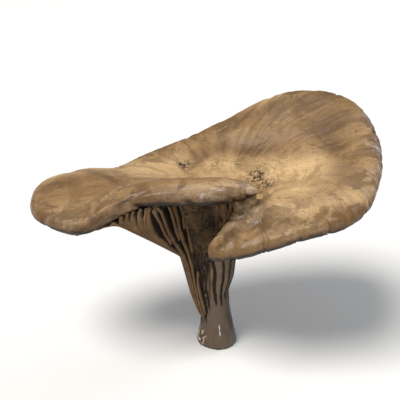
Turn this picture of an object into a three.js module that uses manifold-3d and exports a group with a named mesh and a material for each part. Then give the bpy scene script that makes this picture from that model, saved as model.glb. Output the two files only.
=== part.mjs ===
// A bracket fungus of the stalked, gilled kind: a thick wavy cap, wrapped round into a shallow funnel whose
// two ends pass each other at a cleft, on a short stem cut off flat, with gills from rim down to the stem.
// Millimetres, +Z up, +X to the broad lobe, -Y to the cleft. The origin is the middle of the flat cut.
import * as THREE from "three";
import { mergeVertices } from "three/addons/utils/BufferGeometryUtils.js";
import Module from "manifold-3d";

const wasm = await Module();
wasm.setup();

// ---- Driving dimensions ----

// The inner end of the cleft, at mid-thickness, from which the cap fans out.
const HUB = [13, -9, 67.5];

// The cap's rim at mid-thickness, from the low corner beside the cleft, round the broad lobe, the back and
// the long lobe, to the tip of the tongue that passes over the corner.
const RIM = [
  [-1, -25, 57.5],
  [-5.5, -32, 54.5],
  [2, -36.5, 56],
  [14, -38.5, 59.8],
  [28, -39, 65],
  [45, -37.5, 69.5],
  [55, -31, 73.5],
  [61.5, -18.5, 79],
  [66.5, -1, 86.5],
  [66.5, 16, 93.5],
  [62, 30, 100.5],
  [50.5, 41, 103.8],
  [31, 47, 102.4],
  [9, 48, 91.5],
  [-16, 43, 80],
  [-36, 34, 73],
  [-49, 28.5, 68],
  [-59, 23.5, 70],
  [-68.5, 17.5, 68.2],
  [-77, 10, 67.8],
  [-78.3, -2, 66.5],
  [-75, -15, 64.8],
  [-66, -24, 64],
  [-55, -28.5, 63],
  [-46.5, -27.5, 67],
  [-34, -26, 73],
  [-15, -27, 75],
  [3, -27, 75.5],
  [15, -21, 76.5],
];

// Heights of the flesh at mid-thickness inside the rim: the hollow, the lobes and the back of the tongue, and
// then the slope of the low corner that lies under the tongue.
const FLESH = [
  [20, 5, 69.5],
  [0, 5, 69],
  [-22, 4, 70],
  [32, -12, 70.5],
  [48, -16, 75.5],
  [40, 8, 76.5],
  [22, 26, 80.5],
  [44, 26, 90.5],
  [-8, 24, 72.5],
  [-34, 14, 71.5],
  [-52, 6, 72.5],
  [-64, 0, 72.5],
  [-64, -12, 67.5],
  [-40, -12, 73],
  [-20, -17.5, 77],
  [0, -18.5, 77.5],
];
const CORNER = [[6, -22, 62]];
const WINDING = 20; // mm by which one radian of turn round the hub parts the sheet from itself
const WINDING_FROM = 12; // mm from the hub over which that parting grows

const RIM_HALF_THICKNESS = 3.6;
const HUB_HALF_THICKNESS = 4.2;
const RIM_ROUNDING = 4.5;
const CLEFT_ROUNDING = 4;
const EDGE_SHARE = 0.22; // what is left of the thickness at the very edge, before it is rounded

// The stem's centre line and the radius of its flesh, as [x, y, z, radius], from the cut to where it flares.
const STALK = [
  [0, 0, 0, 8.8],
  [-0.2, 0, 5, 7.8],
  [-0.9, -0.5, 12.5, 6.9],
  [-2.8, -1.5, 26, 7.6],
  [-4.5, -3, 44.5, 10.3],
];
const STALK_DEPTH_SHARE = 1.15; // the stem is a little deeper, front to back, than wide
const FURROW = { bearing: -98, width: 16, depth: 1.6, from: 16, full: 30 };
const KNOB = { bearing: 205, width: 40, height: 3.5, spread: 4, size: 1.3 }; // a small lump beside the cut

// Where the stem's flare meets the cap, from its centre line, every 45 degrees from +X towards +Y, and where
// its knee lies, as shares of the way out and up.
const FLARE_REACH = [22, 24, 24, 28, 36, 24, 14, 15];
const FLARE_KNEE = { out: 0.12, up: 0.45 };

// The gill layer: its depths, how near it comes to the rim, where it leaves the stem's flare, every
// 30 degrees from +X, and the height on the stem where it ends, every 45 degrees.
const GILL_DEPTH_ON_STEM = 2.2;
const GILL_DEPTH_UNDER_CAP = 4.5;
const GILL_RIM_DEPTH = 1.3;
const GILL_RIM_MARGIN = 4;
const GILL_REACH = [26, 26, 26, 26, 30, 37, 41, 39.5, 31, 26, 22, 22];
const GILL_KNEE = { out: 0.16, up: 0.17 };
const GILL_THINNING = 0.9; // how soon the gills lose depth towards the rim: less than 1 is sooner
const GILL_END = [20, 18, 16, 13, 9, 7, 19, 21];
const GILL_END_BLEND = 16; // height over which the gills grow to their depth on the stem

// The bare strip up the front of the stem, where the gills of the two ends of the cap part.
const STRIP = { bearing: -104, width: 28, from: 24, full: 52, clear: 0.6, edge: 4 };
const SUNK = 1.5; // how far below the stem's skin the gill layer is drawn where there are no gills

const GAP = 0.3; // between one solid and the next

// ---- Small helpers ----

const v3 = (x, y, z = 0) => new THREE.Vector3(x, y, z);
const { lerp, smoothstep, degToRad } = THREE.MathUtils;

// Share of the full thickness at a distance in from a rounded edge of that radius.
function rounding(distance, radius) {
  const out = 1 - Math.min(Math.max(distance, 0) / radius, 1);
  return EDGE_SHARE + (1 - EDGE_SHARE) * Math.sqrt(1 - out * out);
}

// A smooth loop through values at equal bearings, read at any bearing in degrees.
function aroundLoop(values, bearing) {
  const loop = new THREE.CatmullRomCurve3(values.map((value) => v3(value, 0)), true);
  return loop.getPoint((((bearing / 360) % 1) + 1) % 1).x;
}

const degreesBetween = (a, b) => Math.abs(((((a - b) % 360) + 540) % 360) - 180);

// Solves a square set of linear equations, each row holding its right-hand side last.
function solve(rows) {
  const count = rows.length;
  for (let i = 0; i < count; i++) {
    const sizes = rows.map((row, k) => (k < i ? -1 : Math.abs(row[i])));
    const pivot = sizes.indexOf(Math.max(...sizes));
    [rows[i], rows[pivot]] = [rows[pivot], rows[i]];
    for (let k = i + 1; k < count; k++) {
      const share = rows[k][i] / rows[i][i];
      for (let j = i; j <= count; j++) rows[k][j] -= share * rows[i][j];
    }
  }
  const answer = new Array(count).fill(0);
  for (let i = count - 1; i >= 0; i--) {
    const known = rows[i].slice(0, count).reduce((sum, value, k) => sum + value * answer[k], 0);
    answer[i] = (rows[i][count] - known) / rows[i][i];
  }
  return answer;
}

function solidOf(triangles) {
  const points = new THREE.BufferGeometry().setFromPoints(triangles.flat());
  const merged = mergeVertices(points, 1e-4);
  const corners = [];
  for (let i = 0; i < merged.index.count; i += 3) {
    const [a, b, c] = [0, 1, 2].map((k) => merged.index.getX(i + k));
    if (a !== b && b !== c && c !== a) corners.push(a, b, c);
  }
  const vertProperties = merged.attributes.position.array;
  const triVerts = new Uint32Array(corners);
  return new wasm.Manifold(new wasm.Mesh({ numProp: 3, vertProperties, triVerts }));
}

function geometryOf(solid) {
  const { vertProperties, triVerts } = solid.getMesh();
  const geometry = new THREE.BufferGeometry();
  geometry.setAttribute("position", new THREE.BufferAttribute(vertProperties, 3));
  geometry.setIndex(new THREE.BufferAttribute(triVerts, 1));
  geometry.computeVertexNormals();
  return geometry;
}

const quad = (a, b, c, d) => [[a, b, c], [a, c, d]];

// A closed slab between an upper and a lower grid of points, both given as rows of equal length.
function slab(upper, lower) {
  const triangles = [];
  const rows = upper.length - 1;
  const columns = upper[0].length - 1;
  for (let i = 0; i < rows; i++) {
    for (let j = 0; j < columns; j++) {
      triangles.push(...quad(upper[i][j], upper[i][j + 1], upper[i + 1][j + 1], upper[i + 1][j]));
      triangles.push(...quad(lower[i][j], lower[i + 1][j], lower[i + 1][j + 1], lower[i][j + 1]));
    }
    const [top, nextTop, bottom, nextBottom] = [upper[i], upper[i + 1], lower[i], lower[i + 1]];
    triangles.push(...quad(top[0], nextTop[0], nextBottom[0], bottom[0]));
    triangles.push(...quad(nextTop[columns], top[columns], bottom[columns], nextBottom[columns]));
  }
  for (let j = 0; j < columns; j++) {
    triangles.push(...quad(upper[0][j + 1], upper[0][j], lower[0][j], lower[0][j + 1]));
    triangles.push(...quad(upper[rows][j], upper[rows][j + 1], lower[rows][j + 1], lower[rows][j]));
  }
  return solidOf(triangles);
}

// A closed loft through rings of points, each ring going the same way round, from the lowest to the highest.
function loft(rings) {
  const triangles = [];
  const count = rings[0].length;
  const middle = (ring) => ring.reduce((sum, p) => sum.add(p), v3(0, 0)).divideScalar(count);
  const low = middle(rings[0]);
  const high = middle(rings.at(-1));
  for (let i = 0; i < count; i++) {
    const next = (i + 1) % count;
    for (let k = 0; k + 1 < rings.length; k++)
      triangles.push(...quad(rings[k][i], rings[k][next], rings[k + 1][next], rings[k + 1][i]));
    triangles.push([low, rings[0][next], rings[0][i]], [high, rings.at(-1)[i], rings.at(-1)[next]]);
  }
  return solidOf(triangles);
}

const largest = (solid) => solid.decompose().sort((a, b) => b.volume() - a.volume())[0];

// ---- The cap's sheet of flesh ----

const hub = v3(...HUB);
const rimLine = new THREE.CatmullRomCurve3(RIM.map((station) => v3(...station)), false, "centripetal");
const rimLength = rimLine.getLength();

// The turn round the hub of a point of the plan, as near as can be to another turn.
function turnNear(x, y, other) {
  const turn = Math.atan2(y - HUB[1], x - HUB[0]);
  return turn + 2 * Math.PI * Math.round((other - turn) / (2 * Math.PI));
}

// A point of the plan, with its turn round the hub, as the three coordinates the heights are spread over.
function spread(x, y, turn) {
  const parted = smoothstep(Math.hypot(x - HUB[0], y - HUB[1]), 0, WINDING_FROM);
  return [x, y, WINDING * turn * parted];
}

// A smooth surface through given heights: cubic radial functions and a plane.
function heightsThrough(sites) {
  const bend = (a, b) => Math.hypot(a[0] - b[0], a[1] - b[1], a[2] - b[2]) ** 3;
  const centres = sites.map(({ at }) => at);
  const terms = (at) => [...centres.map((c) => bend(at, c)), 1, ...at];
  const rows = sites.map(({ at, z }) => [...terms(at), z]);
  for (let k = -1; k < 3; k++) rows.push([...centres.map((c) => (k < 0 ? 1 : c[k])), 0, 0, 0, 0, 0]);
  const weights = solve(rows);
  return (at) => terms(at).reduce((sum, value, k) => sum + value * weights[k], 0);
}

const FRONT = -Math.PI / 2;
const BACK = Math.PI / 2;
const rimTurns = [];
for (const [x, y] of RIM) rimTurns.push(turnNear(x, y, rimTurns.at(-1) ?? FRONT));
const heightAt = heightsThrough([
  { at: spread(HUB[0], HUB[1], 0), z: HUB[2] },
  ...RIM.map(([x, y, z], i) => ({ at: spread(x, y, rimTurns[i]), z })),
  ...FLESH.map(([x, y, z]) => ({ at: spread(x, y, turnNear(x, y, BACK)), z })),
  ...CORNER.map(([x, y, z]) => ({ at: spread(x, y, turnNear(x, y, FRONT)), z })),
]);
const heightOver = (x, y, near) => heightAt(spread(x, y, turnNear(x, y, near)));

// A place of the sheet: t runs round the rim from the corner to the tongue, s from the hub to the rim.
function placeAt(t, s) {
  const rim = rimLine.getPoint(t);
  const turn = turnNear(rim.x, rim.y, rimTurns[Math.round(t * (RIM.length - 1))]);
  return { x: lerp(hub.x, rim.x, s), y: lerp(hub.y, rim.y, s), turn, reach: rim.distanceTo(hub) };
}

const SLOPE_STEP = 0.5;
const LEVEL_ROUND_HUB = 11; // within this of the hub the sheet's normal turns upright

function halfThickness(t, s, reach) {
  const fromCleft = Math.min(t, 1 - t) * rimLength * s;
  const full = lerp(HUB_HALF_THICKNESS, RIM_HALF_THICKNESS, s);
  return full * rounding(reach * (1 - s), RIM_ROUNDING) * rounding(fromCleft, CLEFT_ROUNDING);
}

// A point of the sheet's skin: side is 1 for the top and -1 for the underside, which can stand off by a gap.
function skinPoint(t, s, side, gap = 0) {
  const { x, y, turn, reach } = placeAt(t, s);
  const tilt = smoothstep(reach * s, 0, LEVEL_ROUND_HUB) / (2 * SLOPE_STEP);
  const alongX = heightOver(x + SLOPE_STEP, y, turn) - heightOver(x - SLOPE_STEP, y, turn);
  const alongY = heightOver(x, y + SLOPE_STEP, turn) - heightOver(x, y - SLOPE_STEP, turn);
  const normal = v3(-alongX * tilt, -alongY * tilt, 1).normalize();
  const offset = side * (halfThickness(t, s, reach) + gap);
  return v3(x, y, heightAt(spread(x, y, turn))).addScaledVector(normal, offset);
}

const STEPS_OUT = [0, 0.12, 0.24, 0.36, 0.48, 0.6, 0.71, 0.81, 0.89, 0.94, 0.975, 1];
const STEPS_PER_STATION = 2;

// The part of the sheet between two stations of the rim, as a closed body between two skins.
function sheetSolid([firstStation, lastStation], under, over) {
  const rowsOf = (skin) =>
    Array.from({ length: (lastStation - firstStation) * STEPS_PER_STATION + 1 }, (_, i) => {
      const t = (firstStation + i / STEPS_PER_STATION) / (RIM.length - 1);
      return STEPS_OUT.map((s) => skin(t, s));
    });
  return slab(rowsOf(over), rowsOf(under));
}

const SKY = 140;
const FLOOR = -5;
const PAST_EDGE = 1.8;
const topside = (t, s) => skinPoint(t, s, 1);
const underside = (t, s) => skinPoint(t, s, -1);
const gapUnder = (t, s) => skinPoint(t, s, -1, GAP);

// The sheet is made in two overlapping spans, as its ends pass over each other.
const BROAD_SPAN = { stations: [0, 14], near: 0 };
const LONG_SPAN = { stations: [13, RIM.length - 1], near: Math.PI };
const SPANS = [BROAD_SPAN, LONG_SPAN];
const [broadPart, longPart] = SPANS.map(({ stations }) => sheetSolid(stations, underside, topside));
const capSolid = broadPart.add(longPart);

// The underside with its gap, drawn a little past the sheet's edges, so that a cut clears their rounding.
function pastEdges(t, s) {
  const rim = rimLine.getPoint(t);
  const outward = v3(rim.x - hub.x, rim.y - hub.y).normalize();
  const backward = v3(outward.y, -outward.x);
  const pastRim = s === 1 ? PAST_EDGE : 0;
  const pastCleft = (t === 0 ? PAST_EDGE : 0) - (t === 1 ? PAST_EDGE : 0);
  return gapUnder(t, s).addScaledVector(outward, pastRim).addScaledVector(backward, pastCleft);
}

const atLevel = (skin, z) => (t, s) => skin(t, s).setZ(z);
const aboveSpans = SPANS.map(({ stations }) => sheetSolid(stations, pastEdges, atLevel(pastEdges, SKY)));
const belowSpans = SPANS.map(({ stations }) => sheetSolid(stations, atLevel(gapUnder, FLOOR), gapUnder));

// The cap moved by the gap to either side, to clear what stands beside it at the hub.
const besideCap = [v3(GAP, 0), v3(-GAP, 0), v3(0, GAP), v3(0, -GAP)].map((shift) => {
  const moved = (skin) => (t, s) => skin(t, s).add(shift);
  return sheetSolid(LONG_SPAN.stations, moved(underside), moved(topside));
});

// What of each span's solid lies under that span, with whatever stands over either span taken away.
function underCap(solidFor) {
  const [broad, long] = SPANS.map((span, i) => solidFor(span).intersect(belowSpans[i]));
  return [...aboveSpans, ...besideCap].reduce((left, cutter) => left.subtract(cutter), broad.add(long));
}

// ---- The stem ----

const centreLine = new THREE.CatmullRomCurve3(STALK.map(([x, y, z]) => v3(x, y, z)), false, "centripetal");
const radiusLine = new THREE.CatmullRomCurve3(STALK.map(([, , z, r]) => v3(z, r)), false, "centripetal");
const [topX, topY] = STALK.at(-1);
const BEARINGS = 48;
const bearings = Array.from({ length: BEARINGS }, (_, i) => (360 * i) / BEARINGS);

// A point of the stem's skin, standing out by more: the station u runs from 0 at the cut to 1 at the flare.
function stalkPoint(u, bearing, more) {
  const centre = centreLine.getPoint(u);
  const inFurrow = 1 - smoothstep(degreesBetween(bearing, FURROW.bearing), 0, FURROW.width);
  const furrow = FURROW.depth * inFurrow * smoothstep(centre.z, FURROW.from, FURROW.full);
  const inKnob = 1 - smoothstep(degreesBetween(bearing, KNOB.bearing), 0, KNOB.width);
  const knob = KNOB.size * inKnob * Math.exp(-(((centre.z - KNOB.height) / KNOB.spread) ** 2));
  const radius = radiusLine.getPoint(u).y - furrow + knob + more;
  const a = degToRad(bearing);
  return v3(centre.x + radius * Math.cos(a), centre.y + radius * STALK_DEPTH_SHARE * Math.sin(a), centre.z);
}

// A point under the cap on a bearing, at that distance from the top of the stalk, hanging down by a drop.
function underPoint(span, bearing, distance, drop) {
  const x = topX + distance * Math.cos(degToRad(bearing));
  const y = topY + distance * Math.sin(degToRad(bearing));
  return v3(x, y, heightOver(x, y, span.near) - HUB_HALF_THICKNESS - drop);
}

// The curve from the top of the stalk out to the cap.
function flareCurve(span, bearing, reach, knee, more, drop) {
  const start = stalkPoint(1, bearing, more);
  const end = underPoint(span, bearing, reach, drop);
  const bend = start.clone().lerp(end, knee.out).setZ(lerp(start.z, end.z, knee.up));
  return new THREE.QuadraticBezierCurve3(start, bend, end);
}

const STALK_STEPS = [0, 0.08, 0.17, 0.27, 0.38, 0.5, 0.62, 0.74, 0.87];
const FLARE_STEPS = [0, 0.2, 0.4, 0.6, 0.8, 1];

// A closed body from profiles that run from the foot to the rim, one on each bearing, closed off in the sky.
function lathe(profileOn) {
  const profiles = bearings.map((bearing) => {
    const points = profileOn(bearing);
    return [...points, points.at(-1).clone().setZ(SKY + 1)];
  });
  return loft(profiles[0].map((_, k) => profiles.map((profile) => profile[k])));
}

function stemLathe(span, gap) {
  return lathe((bearing) => {
    const reach = aroundLoop(FLARE_REACH, bearing) + gap;
    const flare = flareCurve(span, bearing, reach, FLARE_KNEE, gap, gap);
    const stalk = STALK_STEPS.map((u) => stalkPoint(u, bearing, gap));
    return [...stalk, ...FLARE_STEPS.map((w) => flare.getPoint(w))];
  });
}

const stemSolid = largest(underCap((span) => stemLathe(span, 0)));

// ---- The gills ----

// Share of bareness on a bearing, for a strip of that half-width with soft edges.
function inStrip(bearing, width) {
  return 1 - smoothstep(degreesBetween(bearing, STRIP.bearing), width * STRIP.clear, width + STRIP.edge);
}

// How far the gills stand out of the stem at a station: less than nothing where there are none.
function gillDepthOnStem(u, bearing) {
  const { z } = centreLine.getPoint(u);
  const end = aroundLoop(GILL_END, bearing);
  const growth = smoothstep(z, end - GILL_END_BLEND / 4, end + GILL_END_BLEND);
  const grown = lerp(-SUNK, GILL_DEPTH_ON_STEM, growth);
  const width = STRIP.width * smoothstep(z, STRIP.from, STRIP.full);
  return lerp(grown, -SUNK, inStrip(bearing, width));
}

// Distance on a bearing from the top of the stalk to the rim: the span's own, where both ends lie there.
function rimDistance(span, bearing) {
  const along = v3(Math.cos(degToRad(bearing)), Math.sin(degToRad(bearing)));
  const crossings = [];
  RIM.slice(1).forEach(([x, y], i) => {
    const start = v3(RIM[i][0] - topX, RIM[i][1] - topY);
    const side = v3(x - topX, y - topY).sub(start);
    const turn = along.x * side.y - along.y * side.x;
    const distance = (start.x * side.y - start.y * side.x) / turn;
    const share = (start.x * along.y - start.y * along.x) / turn;
    if (distance > 0 && share >= 0 && share <= 1) crossings.push(distance);
  });
  return span === BROAD_SPAN ? crossings[0] : crossings.at(-1);
}

const SHEET_STEPS = [0.25, 0.5, 0.75, 0.92, 1];

function gillLathe(span) {
  return lathe((bearing) => {
    const bare = inStrip(bearing, STRIP.width);
    const reach = lerp(aroundLoop(GILL_REACH, bearing), aroundLoop(FLARE_REACH, bearing), bare);
    const knee = { out: GILL_KNEE.out, up: lerp(GILL_KNEE.up, FLARE_KNEE.up, bare) };
    const drop = lerp(GILL_DEPTH_UNDER_CAP, -SUNK, bare);
    const flare = flareCurve(span, bearing, reach, knee, gillDepthOnStem(1, bearing), drop);
    const last = Math.max(rimDistance(span, bearing) - GILL_RIM_MARGIN, reach + 2);
    const sheet = SHEET_STEPS.map((w) => {
      const depth = lerp(GILL_DEPTH_UNDER_CAP, GILL_RIM_DEPTH, w ** GILL_THINNING);
      return underPoint(span, bearing, lerp(reach, last, w), depth);
    });
    const stalk = STALK_STEPS.slice(2).map((u) => stalkPoint(u, bearing, gillDepthOnStem(u, bearing)));
    return [...stalk, ...FLARE_STEPS.map((w) => flare.getPoint(w)), ...sheet];
  });
}

const gillSolid = largest(underCap((span) => gillLathe(span).subtract(stemLathe(span, GAP))));

// ---- Assembly ----

function piece(name, solid, color, roughness) {
  const material = new THREE.MeshStandardMaterial({ color, roughness, metalness: 0 });
  const mesh = new THREE.Mesh(geometryOf(solid), material);
  mesh.name = name;
  return mesh;
}

const fungus = new THREE.Group();
fungus.add(piece("cap", capSolid, 0xb8935f, 0.5));
fungus.add(piece("gills", gillSolid, 0x6b4f33, 0.55));
fungus.add(piece("stem", stemSolid, 0x7d6248, 0.4));

export default fungus;
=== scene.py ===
import bmesh
import bpy
import math
import random
from types import SimpleNamespace
from mathutils import Matrix, Vector, bvhtree, kdtree, noise


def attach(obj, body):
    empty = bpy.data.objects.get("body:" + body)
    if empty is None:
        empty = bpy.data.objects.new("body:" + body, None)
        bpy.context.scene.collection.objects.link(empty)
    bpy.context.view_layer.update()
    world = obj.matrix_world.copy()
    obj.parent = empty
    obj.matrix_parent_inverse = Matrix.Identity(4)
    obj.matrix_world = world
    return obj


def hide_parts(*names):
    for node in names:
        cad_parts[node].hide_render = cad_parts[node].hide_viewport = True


# A stalked bracket fungus on a pale floor. The solids give the size and the place of cap, gills and stem, and
# this file gives them their flesh: wrinkled skin, thin separate gills, a moist stem and the colours of each.
# Lengths below are in metres, and MM turns millimetres into them.

bl_info = {
    "name": "Bracket Fungus",
    "version": (1, 0, 0),
    "blender": (4, 5, 0),
    "location": "View3D > Sidebar > Fungus",
    "description": "Builds the flesh, gills and stem of a stalked bracket fungus round its solids",
    "category": "Add Mesh",
}

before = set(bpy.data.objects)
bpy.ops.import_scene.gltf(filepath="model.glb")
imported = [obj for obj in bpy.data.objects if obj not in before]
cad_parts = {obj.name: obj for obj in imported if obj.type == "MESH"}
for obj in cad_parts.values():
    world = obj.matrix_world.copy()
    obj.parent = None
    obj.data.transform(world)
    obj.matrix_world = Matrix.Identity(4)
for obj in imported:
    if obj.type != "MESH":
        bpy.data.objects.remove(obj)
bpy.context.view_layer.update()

MM = 0.001

# The inner end of the cleft, from which the cap fans out, and the top of the stalk, round which the gills
# stand. Both are places of the plan.
HUB = Vector((13, -9, 0)) * MM
GILL_AXIS = Vector((-4.5, -3, 0)) * MM

# A middling distance from the hub out to the rim, and from the stem's axis out to its skin.
FAN_REACH = 40 * MM
STEM_REACH = 9 * MM


class Seed:
    """Where each noise starts, so that no two are alike, and where each run of random numbers does."""

    CAP_FIBRES, CAP_LUMPS, CAP_PITS, CAP_CRINKLE = 1, 2, 3, 4
    GILL_WAVER, GILL_QUIVER = 5, 6
    STEM_FIBRES, STEM_LUMPS, KNOB_ROUGHNESS = 7, 8, 9
    CREASES, SCRATCHES, GROOVES = 21, 23, 31
    GILL_SCATTER, GROOVE_SCATTER = 4, 11


# ---- What a user may change ----


def tint(name, description, default):
    """A colour that a user may change."""
    return bpy.props.FloatVectorProperty(
        name=name, description=description, default=default, subtype="COLOR", min=0, max=1
    )


def length(name, description, default):
    """A length that a user may change."""
    return bpy.props.FloatProperty(
        name=name, description=description, default=default, unit="LENGTH", precision=5
    )


class CapSettings(bpy.types.PropertyGroup):
    """Sizes and colours of the cap."""

    grain: length("Grain", "Size of the cap's mesh cells", 0.60 * MM)
    wrinkles: length("Wrinkles", "Height of the fine wrinkles of the skin", 0.35 * MM)
    pale: tint("Pale", "Colour of the flesh in the hollow", (0.68, 0.465, 0.24))
    tan: tint("Tan", "Colour of most of the skin", (0.305, 0.182, 0.078))
    brown: tint("Brown", "Colour of the darker bands", (0.110, 0.057, 0.022))
    # The mauve is partly the margin's own greyish tone and partly painted sheen.
    mauve: tint("Mauve", "Colour of the bloom near the rim", (0.35, 0.27, 0.20))
    # This colour serves both the black specks of the skin and the painted shade on the skin that faces down
    # under the rim.
    edge: tint("Edge", "Colour of the line under the rim", (0.012, 0.006, 0.003))
    # This colour is laid on the pale lines: painted highlights on fine folds of the left lobe, and pale
    # cracks along the far rim.
    crack_glint_colour: tint("Crack glint", "Colour of the pale scratches and glints", (0.62, 0.55, 0.46))


class GillSettings(bpy.types.PropertyGroup):
    """Sizes and colours of the gills."""

    long_gills: bpy.props.IntProperty(
        name="Long gills", description="How many gills run all the way down the stem", default=40, min=8
    )
    thickness: length("Thickness", "Thickness of a gill", 0.78 * MM)
    waver: length("Waver", "How far the gills stray from straight", 0.9 * MM)
    crest: tint("Crest", "Colour of a gill's free edge", (0.135, 0.075, 0.034))
    # The root colour is painted shade: the gills darken towards their roots, deep between them.
    root: tint("Root", "Colour deep between the gills", (0.006, 0.004, 0.003))


class StemSettings(bpy.types.PropertyGroup):
    """Sizes and colours of the stem."""

    grain: length("Grain", "Size of the stem's mesh cells", 0.5 * MM)
    flesh: tint("Flesh", "Colour of the smooth stem", (0.098, 0.064, 0.039))
    # These blotches lie on the bare strip, in the painted shade of the cap, and are painted darker for it.
    bare: tint("Bare", "Colour of the blotches on the bare strip", (0.070, 0.039, 0.015))


class StageSettings(bpy.types.PropertyGroup):
    """Floor, lights and camera."""

    floor: tint("Floor", "Colour of the floor", (0.86, 0.86, 0.86))
    distance: bpy.props.FloatProperty(
        name="Camera distance", description="How far the camera stands off", default=273 * MM, unit="LENGTH"
    )
    elevation: bpy.props.FloatProperty(
        name="Camera elevation", description="How high the camera looks from", default=math.radians(20),
        unit="ROTATION", subtype="ANGLE",
    )
    lens: bpy.props.FloatProperty(name="Lens", description="Focal length", default=60, unit="CAMERA")


# ---- Mesh helpers ----

# How much of the way to the middle of its neighbours one round of smoothing takes a corner.
SMOOTHING = 0.5


def solid_mesh(node):
    """A bmesh of a solid's surface, with its loose triangles joined."""
    mesh = bmesh.new()
    mesh.from_mesh(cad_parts[node].data)
    bmesh.ops.remove_doubles(mesh, verts=mesh.verts, dist=0.01 * MM)
    return mesh


def surface_of(node):
    """A search tree over a solid's surface."""
    mesh = solid_mesh(node)
    tree = bvhtree.BVHTree.FromBMesh(mesh)
    mesh.free()
    return tree


def tree_of(places):
    """A search tree over places."""
    tree = kdtree.KDTree(len(places))
    for i, place in enumerate(places):
        tree.insert(place, i)
    tree.balance()
    return tree


def object_from(mesh, name):
    """Puts a bmesh into a new named object in the scene and frees it."""
    data = bpy.data.meshes.new(name)
    mesh.to_mesh(data)
    mesh.free()
    made = bpy.data.objects.new(name, data)
    bpy.context.scene.collection.objects.link(made)
    return made


def apply_modifiers(piece):
    """Makes what the modifiers do part of the mesh."""
    graph = bpy.context.evaluated_depsgraph_get()
    shaped = bpy.data.meshes.new_from_object(piece.evaluated_get(graph))
    piece.modifiers.clear()
    piece.data = shaped
    shaped.name = piece.name


def remesh(piece, levels, voxel, smoothing):
    """Rounds a coarse mesh off, gives it even cells and smooths their steps away."""
    if levels:
        round_off = piece.modifiers.new("Round off", "SUBSURF")
        round_off.levels = levels
        round_off.render_levels = levels
    cells = piece.modifiers.new("Cells", "REMESH")
    cells.mode = "VOXEL"
    cells.voxel_size = voxel
    cells.use_smooth_shade = True
    smooth = piece.modifiers.new("Smooth", "SMOOTH")
    smooth.factor = SMOOTHING
    smooth.iterations = smoothing
    apply_modifiers(piece)


def smooth_corners(mesh, corners):
    """One round of smoothing of some corners of a bmesh."""
    bmesh.ops.smooth_vert(
        mesh, verts=corners, factor=SMOOTHING, use_axis_x=True, use_axis_y=True, use_axis_z=True
    )


def cut_by_plane(mesh, place, normal, **options):
    """Cuts a whole bmesh by a plane and gives the corners and edges that lie on the cut."""
    whole = mesh.verts[:] + mesh.edges[:] + mesh.faces[:]
    return bmesh.ops.bisect_plane(mesh, geom=whole, plane_co=place, plane_no=normal, **options)["geom_cut"]


def corners_among(items):
    """The corners among the parts of a bmesh."""
    return [item for item in items if isinstance(item, bmesh.types.BMVert)]


def store(piece, name, values, kind="FLOAT"):
    """Writes one value, or one vector, for each vertex as an attribute."""
    field = "value" if kind == "FLOAT" else "vector"
    flat = values if kind == "FLOAT" else [number for value in values for number in value]
    piece.data.attributes.new(name, kind, "POINT").data.foreach_set(field, flat)


def finish_piece(piece, node, material):
    """Gives a piece its material and smooth shading, and puts it in the place of its solid."""
    piece.data.materials.clear()
    piece.data.materials.append(material)
    piece.data.shade_smooth()
    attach(piece, "root")
    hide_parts(node)


def ease(value, low, high):
    """0 below low, 1 above high, and a smooth rise between."""
    share = min(max((value - low) / (high - low), 0), 1)
    return share * share * (3 - 2 * share)


def bell(away, width):
    """1 where nothing is away, falling smoothly to 0 over about two widths."""
    return math.exp(-((away / width) ** 2))


def wrapped(turn, full=360):
    """A turn brought between minus half and half of a full one."""
    return (turn + full / 2) % full - full / 2


# Each octave of the noise is this much finer than the one before, and weaker by this power of it.
OCTAVE_STEP = 2.1
OCTAVE_FALL = 0.9
SEED_STEPS = (17.3, 5.1, 9.7)


def layered_noise(place, size, seed, octaves=3):
    """Soft noise from about -1 to 1, with features of that size, over several octaves."""
    offset = Vector([seed * step for step in SEED_STEPS])
    return noise.fractal(place / size + offset, OCTAVE_FALL, OCTAVE_STEP, octaves)


# ---- The fan of the cap ----

# The low corner and the tongue lie over the same bearings. What is above this height and left of this place
# there belongs to the tongue.
TONGUE_HEIGHT = 69 * MM
TONGUE_END = 16 * MM
OVERLAP = (-0.75 * math.pi, -0.3 * math.pi)

# The fibres spiral between these places in x, and no closer to the hub than this.
SWIRL_FROM, SWIRL_TO = -15 * MM, 25 * MM
SWIRL_CORE = 8 * MM


def fan_turn(place):
    """Turn about the hub in radians, from the low corner at about -2 round to the tongue at about 4.7."""
    spoke = place - HUB
    turn = math.atan2(spoke.y, spoke.x)
    on_tongue = place.z > TONGUE_HEIGHT and place.x < TONGUE_END
    if turn < OVERLAP[0] or (turn < OVERLAP[1] and on_tongue):
        turn += 2 * math.pi
    return turn


def swirled(place):
    """Turn about the hub along which the skin's fibres run: they spiral outwards on the broad lobe."""
    swirl = ease(place.x, SWIRL_FROM, SWIRL_TO)
    return fan_turn(place) + swirl * math.log(max(fan_reach(place), SWIRL_CORE) / FAN_REACH)


def fan_reach(place):
    """Distance from the hub in plan."""
    return math.hypot(place.x - HUB.x, place.y - HUB.y)


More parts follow.
